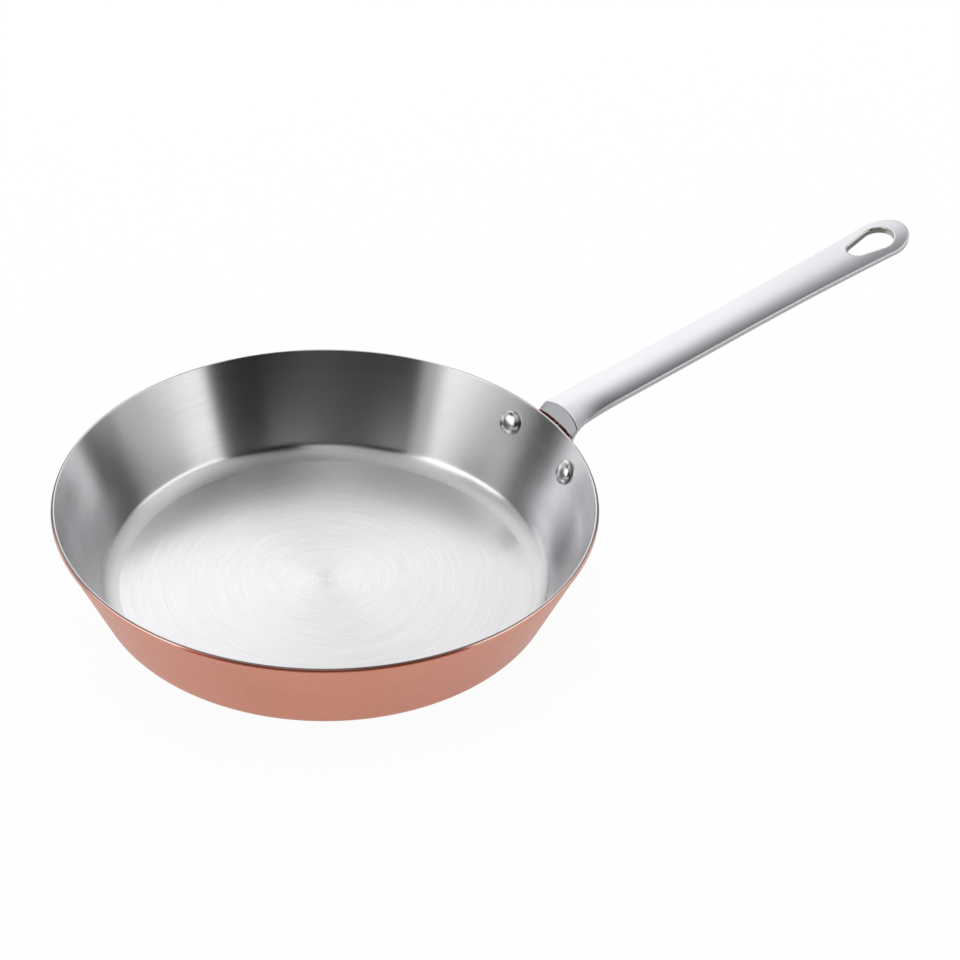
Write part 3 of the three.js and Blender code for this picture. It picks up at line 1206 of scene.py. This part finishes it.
@dataclass(frozen=True)
class Panel:
    """A soft-edged field of the surround.

    Its middle, half width and edge are degrees round from the camera's side. Low, high and fade are
    degrees above the floor. The level is its light, where 1 is white.
    """

    name: str
    azimuth: float
    half_width: float
    edge: float
    low: float
    high: float
    fade: float
    level: float

    def over(self, behind: Number, azimuth: Wrap, elevation: Wrap) -> Wrap:
        """Lays the panel over what hangs behind it.

        Args:
            behind: Light level behind the panel.
            azimuth: Where the point lies round the pan, in degrees.
            elevation: How high it lies, in degrees.

        Returns:
            The light level with the panel in front.
        """
        away = abs(azimuth.graph.math("WRAP", azimuth - self.azimuth, 180.0, -180.0))
        cover = 1.0 - away.ease(self.half_width - self.edge, self.half_width + self.edge)
        cover = cover * elevation.ease(self.low - self.fade, self.low + self.fade)
        cover = cover * (1.0 - elevation.ease(self.high - self.fade, self.high + self.fade))
        return behind + (self.level - behind) * cover


@dataclass
class Studio:
    """Pale floor, soft surround light and the camera."""

    floor_half: float = 4.0
    floor_drop: float = 0.0002
    floor_grain: Grain = Grain(40.0, 40.0, 40.0)
    floor_shade: float = 0.985
    floor_colour: Colour = (0.88, 0.88, 0.885)
    camera_white: float = 0.93
    glow: float = 1.03
    mirror_white: float = 0.45
    dome_radius: float = 1.45
    dome_segments: int = 96
    dome_steps: int = 32
    room_level: float = 0.59
    panels: tuple[Panel, ...] = (
        Panel("far_wall", 190.0, 26.0, 20.0, -20.0, 54.0, 17.0, 1.33),
        Panel("left_box", -75.5, 24.0, 4.0, 11.0, 47.5, 4.0, 1.8),
        Panel("right_box", 79.0, 28.0, 9.0, 4.5, 27.5, 4.0, 1.8),
        Panel("far_right_top", 122.0, 26.0, 8.0, 45.0, 62.0, 5.0, 1.15),
        Panel("far_left_top", -136.0, 26.0, 8.0, 45.0, 62.0, 5.0, 1.05),
        Panel("left_flag", -104.5, 21.0, 4.0, 36.0, 62.0, 4.0, 0.0),
        Panel("front_card", 5.0, 47.5, 3.0, -20.0, 50.5, 4.5, 0.02),
        Panel("top_box", 9.0, 24.0, 17.0, 40.0, 65.5, 6.5, 0.7),
        Panel("right_flag", 33.5, 19.0, 3.5, 33.0, 73.0, 5.0, 0.0),
        Panel("back_flag", 158.0, 31.0, 8.0, 57.0, 110.0, 13.0, 0.07),
        Panel("zenith", 0.0, 200.0, 5.0, 84.5, 120.0, 9.5, 1.15),
        Panel("skirting", -4.0, 110.0, 7.0, -20.0, 10.5, 4.0, 0.0),
    )
    camera_place: Place = (-0.585317, -1.030344, 0.909001)
    camera_turn: Place = (54.491975, -1.725888, -31.964098)
    camera_lens: float = 112.8196
    sensor: float = 36.0
    clip: Run = (0.05, 60.0)

    def build_camera(self) -> None:
        """Sets the camera at the photograph's angle."""
        data = bpy.data.cameras.new("camera")
        data.lens = self.camera_lens
        data.sensor_width = self.sensor
        data.clip_start, data.clip_end = self.clip
        camera = bpy.data.objects.new("camera", data)
        camera.location = self.camera_place
        camera.rotation_euler = Euler([math.radians(turn) for turn in self.camera_turn], "XYZ")
        bpy.context.scene.collection.objects.link(camera)
        bpy.context.scene.camera = camera

    def build_floor(self) -> None:
        """Lays the floor that the pan stands on."""
        half = self.floor_half
        level = -self.floor_drop
        corners = [(-half, -half, level), (half, -half, level), (half, half, level), (-half, half, level)]
        floor = mesh_object("floor", np.array(corners), [(0, 1, 2, 3)])
        material, graph = new_material("pale_floor")
        seen, mirrored, through = (
            graph.node("ShaderNodeLightPath", None, None, ray)
            for ray in ("Is Camera Ray", "Is Glossy Ray", "Is Transmission Ray")
        )
        grain = self.floor_grain.read(*graph.place(1.0))
        shade = tuple(part * self.floor_shade for part in self.floor_colour)
        colour = graph.mix(grain, self.floor_colour, shade)
        paint = graph.node(
            "ShaderNodeBsdfPrincipled",
            None,
            {"Base Color": colour, "Roughness": 1.0, "Specular IOR Level": 0.0},
        )
        share = (seen * self.camera_white).at_least((mirrored + through) * self.mirror_white)
        sockets = {"#0": share, "#1": paint, "#2": graph.glow(self.glow)}
        surface = graph.node("ShaderNodeMixShader", None, sockets)
        graph.node("ShaderNodeOutputMaterial", None, {"Surface": surface})
        floor.data.materials.append(material)

    def build_surround(self) -> None:
        """Hangs the dome that lights the pan, with its soft boxes, dark card and pale far wall."""
        dome = lathe("surround", self.dome_profile(), self.dome_segments)
        material, graph = new_material("soft_surround")
        x, y, z = graph.place(1.0)
        flat = Vector(self.camera_place[:2]).normalized()
        ahead = x * flat.x + y * flat.y
        right = x * -flat.y + y * flat.x
        azimuth = graph.math("ARCTAN2", right, ahead) * DEGREES
        elevation = graph.math("ARCSINE", z / self.dome_radius) * DEGREES
        level: Number = self.room_level
        for panel in self.panels:
            LOG.debug("%s: level %.2f", panel.name, panel.level)
            level = panel.over(level, azimuth, elevation)
        full = max(panel.level for panel in self.panels)
        sockets = {"#0": level / full, "#1": graph.glow(0.0), "#2": graph.glow(full)}
        surface = graph.node("ShaderNodeMixShader", None, sockets)
        graph.node("ShaderNodeOutputMaterial", None, {"Surface": surface})
        material.cycles.emission_sampling = "NONE"
        dome.data.materials.append(material)
        dome.visible_camera = False
        dome.visible_shadow = False
        world = bpy.data.worlds.new("room")
        bpy.context.scene.world = world
        world.use_nodes = True
        room = Graph(world.node_tree)
        air = room.node("ShaderNodeBackground", None, {"Color": WHITE, "Strength": 1.0})
        room.node("ShaderNodeOutputWorld", None, {"Surface": air})

    def dome_profile(self) -> list[Point]:
        """Half circle of the dome, from the floor to its top, in millimetres."""
        size = self.dome_radius / MM
        turns = [math.pi / 2.0 * step / self.dome_steps for step in range(self.dome_steps)]
        return [*((size * math.cos(turn), size * math.sin(turn)) for turn in turns), (0.0, size)]

    def build(self) -> None:
        """Builds the whole studio."""
        self.build_camera()
        self.build_floor()
        self.build_surround()
        bpy.context.scene.view_settings.view_transform = "Standard"


def main() -> None:
    """Builds the pan piece by piece, then the studio round it."""
    logging.basicConfig(level=logging.INFO, format="%(name)s %(message)s")
    body = CladBody()
    rivets = Rivets(body)
    cutters = rivets.cutters()
    body.build(cutters)
    for cutter in cutters:
        bpy.data.objects.remove(cutter)
    rivets.build()
    CastHandle(body, rivets).build()
    Studio().build()


if __name__ == "__main__":
    main()
